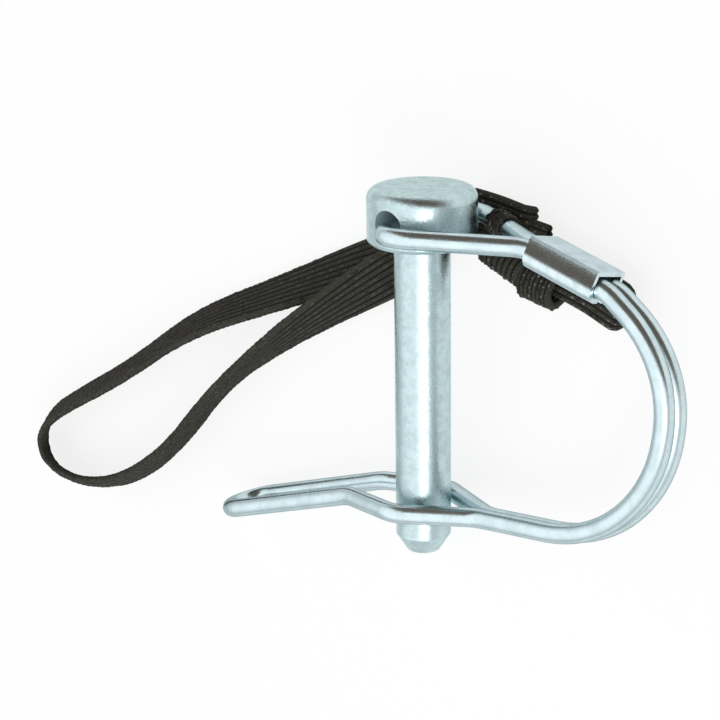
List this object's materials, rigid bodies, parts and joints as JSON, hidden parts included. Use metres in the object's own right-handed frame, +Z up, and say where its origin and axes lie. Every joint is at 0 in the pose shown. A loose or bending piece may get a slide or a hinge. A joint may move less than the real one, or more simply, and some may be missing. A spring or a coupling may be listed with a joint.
{
  "type": "lynch pin",
  "caption": "Headed steel locking pin with a sprung wire bail that snaps over its tip, a folded sleeve on the bail and an elastic keeper strap knotted to it.",
  "frame": {"origin": "middle of the underside of the pin, bail, sleeve and knot, as the part lies on a table", "axes": "+X from the finger tab to the bow of the bail, +Y from the tip to the head of the pin, +Z up from the table"},
  "size_m": [0.1301, 0.0633, 0.0242],
  "materials": {
    "pin_zinc": "satin",
    "wire_zinc": "bright",
    "sleeve_zinc": "bright",
    "strap_elastic": "matte"
  },
  "bodies": {
    "pin": {"pin": "pin_zinc"},
    "bail": {"wire_bail": "wire_zinc", "sleeve": "sleeve_zinc", "strap_knot": "strap_elastic", "strap_loop": "strap_elastic"}
  },
  "joints": [
    {"name": "bail_swing", "type": "hinge", "parent": "pin", "child": "bail", "pos_m": [-0.00217, 0.02385, 0.01338], "axis": [-0.0307, -0.1372, 0.9901], "range_deg": [0, 240], "deforming": ["wire_bail"]}
  ]
}
